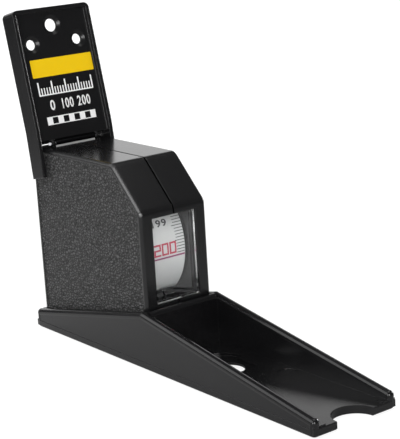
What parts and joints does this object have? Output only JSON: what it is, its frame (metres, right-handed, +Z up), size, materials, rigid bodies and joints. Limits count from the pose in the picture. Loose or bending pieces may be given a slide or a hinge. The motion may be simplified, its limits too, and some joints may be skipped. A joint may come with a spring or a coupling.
{
  "type": "wall height measuring tape",
  "caption": "Spring-return steel height tape in a black moulded case on a tapered headpiece, hanging from a hinged wall bracket.",
  "frame": {"origin": "middle of the headpiece's flat underside", "axes": "+Z up along the wall, +Y towards the wall, -Y towards the headpiece's tip, +X to the right when facing the tip end"},
  "size_m": [0.0324, 0.1527, 0.1116],
  "materials": {
    "head_black": "satin moulded plastic",
    "case_black": "leather-grain sides, smooth edges",
    "bracket_black": "glossy",
    "clear_lens": "clear polished",
    "tape_lacquer": "white lacquer with printed scale",
    "steel": "zinc plated",
    "bright_steel": "bright",
    "spring_steel": "blued",
    "reel_white": "satin",
    "washer_nylon": "satin"
  },
  "bodies": {
    "case": {"headpiece": "head_black", "headpiece_screws": "steel", "case_left": "case_black", "case_right": "case_black", "case_screws": "steel", "window_lens": "clear_lens", "centre_post": "steel", "thrust_washers": "washer_nylon"},
    "reel": {"reel_drum": "reel_white", "drum_cover": "reel_white", "mainspring": "spring_steel", "tape_roll": "tape_lacquer"},
    "tape_end": {"tape_run": "tape_lacquer", "tape_eye": "steel", "eye_rivets": "steel"},
    "bracket": {"wall_bracket": "bracket_black", "hinge_wire": "bright_steel"}
  },
  "joints": [
    {"name": "tape_pull", "type": "slide", "parent": "case", "child": "tape_end", "axis": [0, 0.2267, 0.974], "range_m": [0, 2], "stiffness_N_per_m": 0.4, "springref_m": -3.5, "deforming": ["tape_run"]},
    {"name": "bracket_tilt", "type": "hinge", "parent": "tape_end", "child": "bracket", "pos_m": [0, 0.06386, 0.0661], "axis": [1, 0, 0], "range_deg": [0, 13.1]},
    {"name": "reel_spin", "type": "hinge", "parent": "case", "child": "reel", "pos_m": [0, 0.0357, 0.0351], "axis": [1, 0, 0], "continuous": true, "deforming": ["mainspring"]}
  ],
  "couplings": [
    {"joint": "reel_spin", "follows": "tape_pull", "rad_per_m": 49.02}
  ]
}
